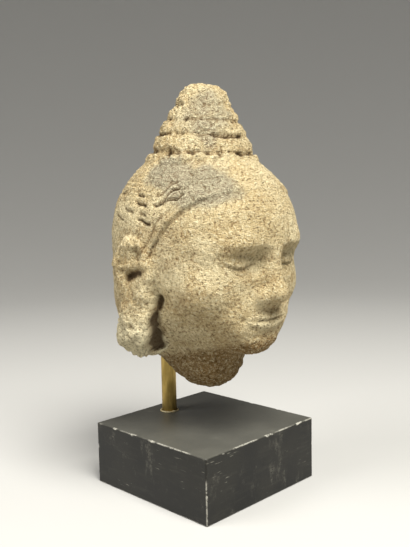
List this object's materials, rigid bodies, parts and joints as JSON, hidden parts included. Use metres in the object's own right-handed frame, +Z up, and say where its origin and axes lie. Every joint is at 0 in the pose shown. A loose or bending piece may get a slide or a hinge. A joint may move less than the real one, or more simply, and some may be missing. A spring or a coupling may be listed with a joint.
{
  "type": "stone head sculpture on a display stand",
  "caption": "Weathered sandstone head with a stepped cone of hair and long ear lobes, held over a black block by a brass rod behind the neck.",
  "frame": {"origin": "middle of the block's underside", "axes": "+Z up, the face looks along -Y, +X to the head's own left"},
  "size_m": [0.1177, 0.1295, 0.2558],
  "materials": {
    "sandstone": "rough, granular and weathered, with grey patina on the hair",
    "brass": "dull satin with a light tarnish",
    "glue": "pale, slightly glossy",
    "black_paint": "satin black paint, worn pale at the edges"
  },
  "bodies": {
    "root": {"stone_head": "sandstone", "brass_rod": "brass", "glue_bead": "glue", "painted_block": "black_paint"}
  },
  "joints": []
}
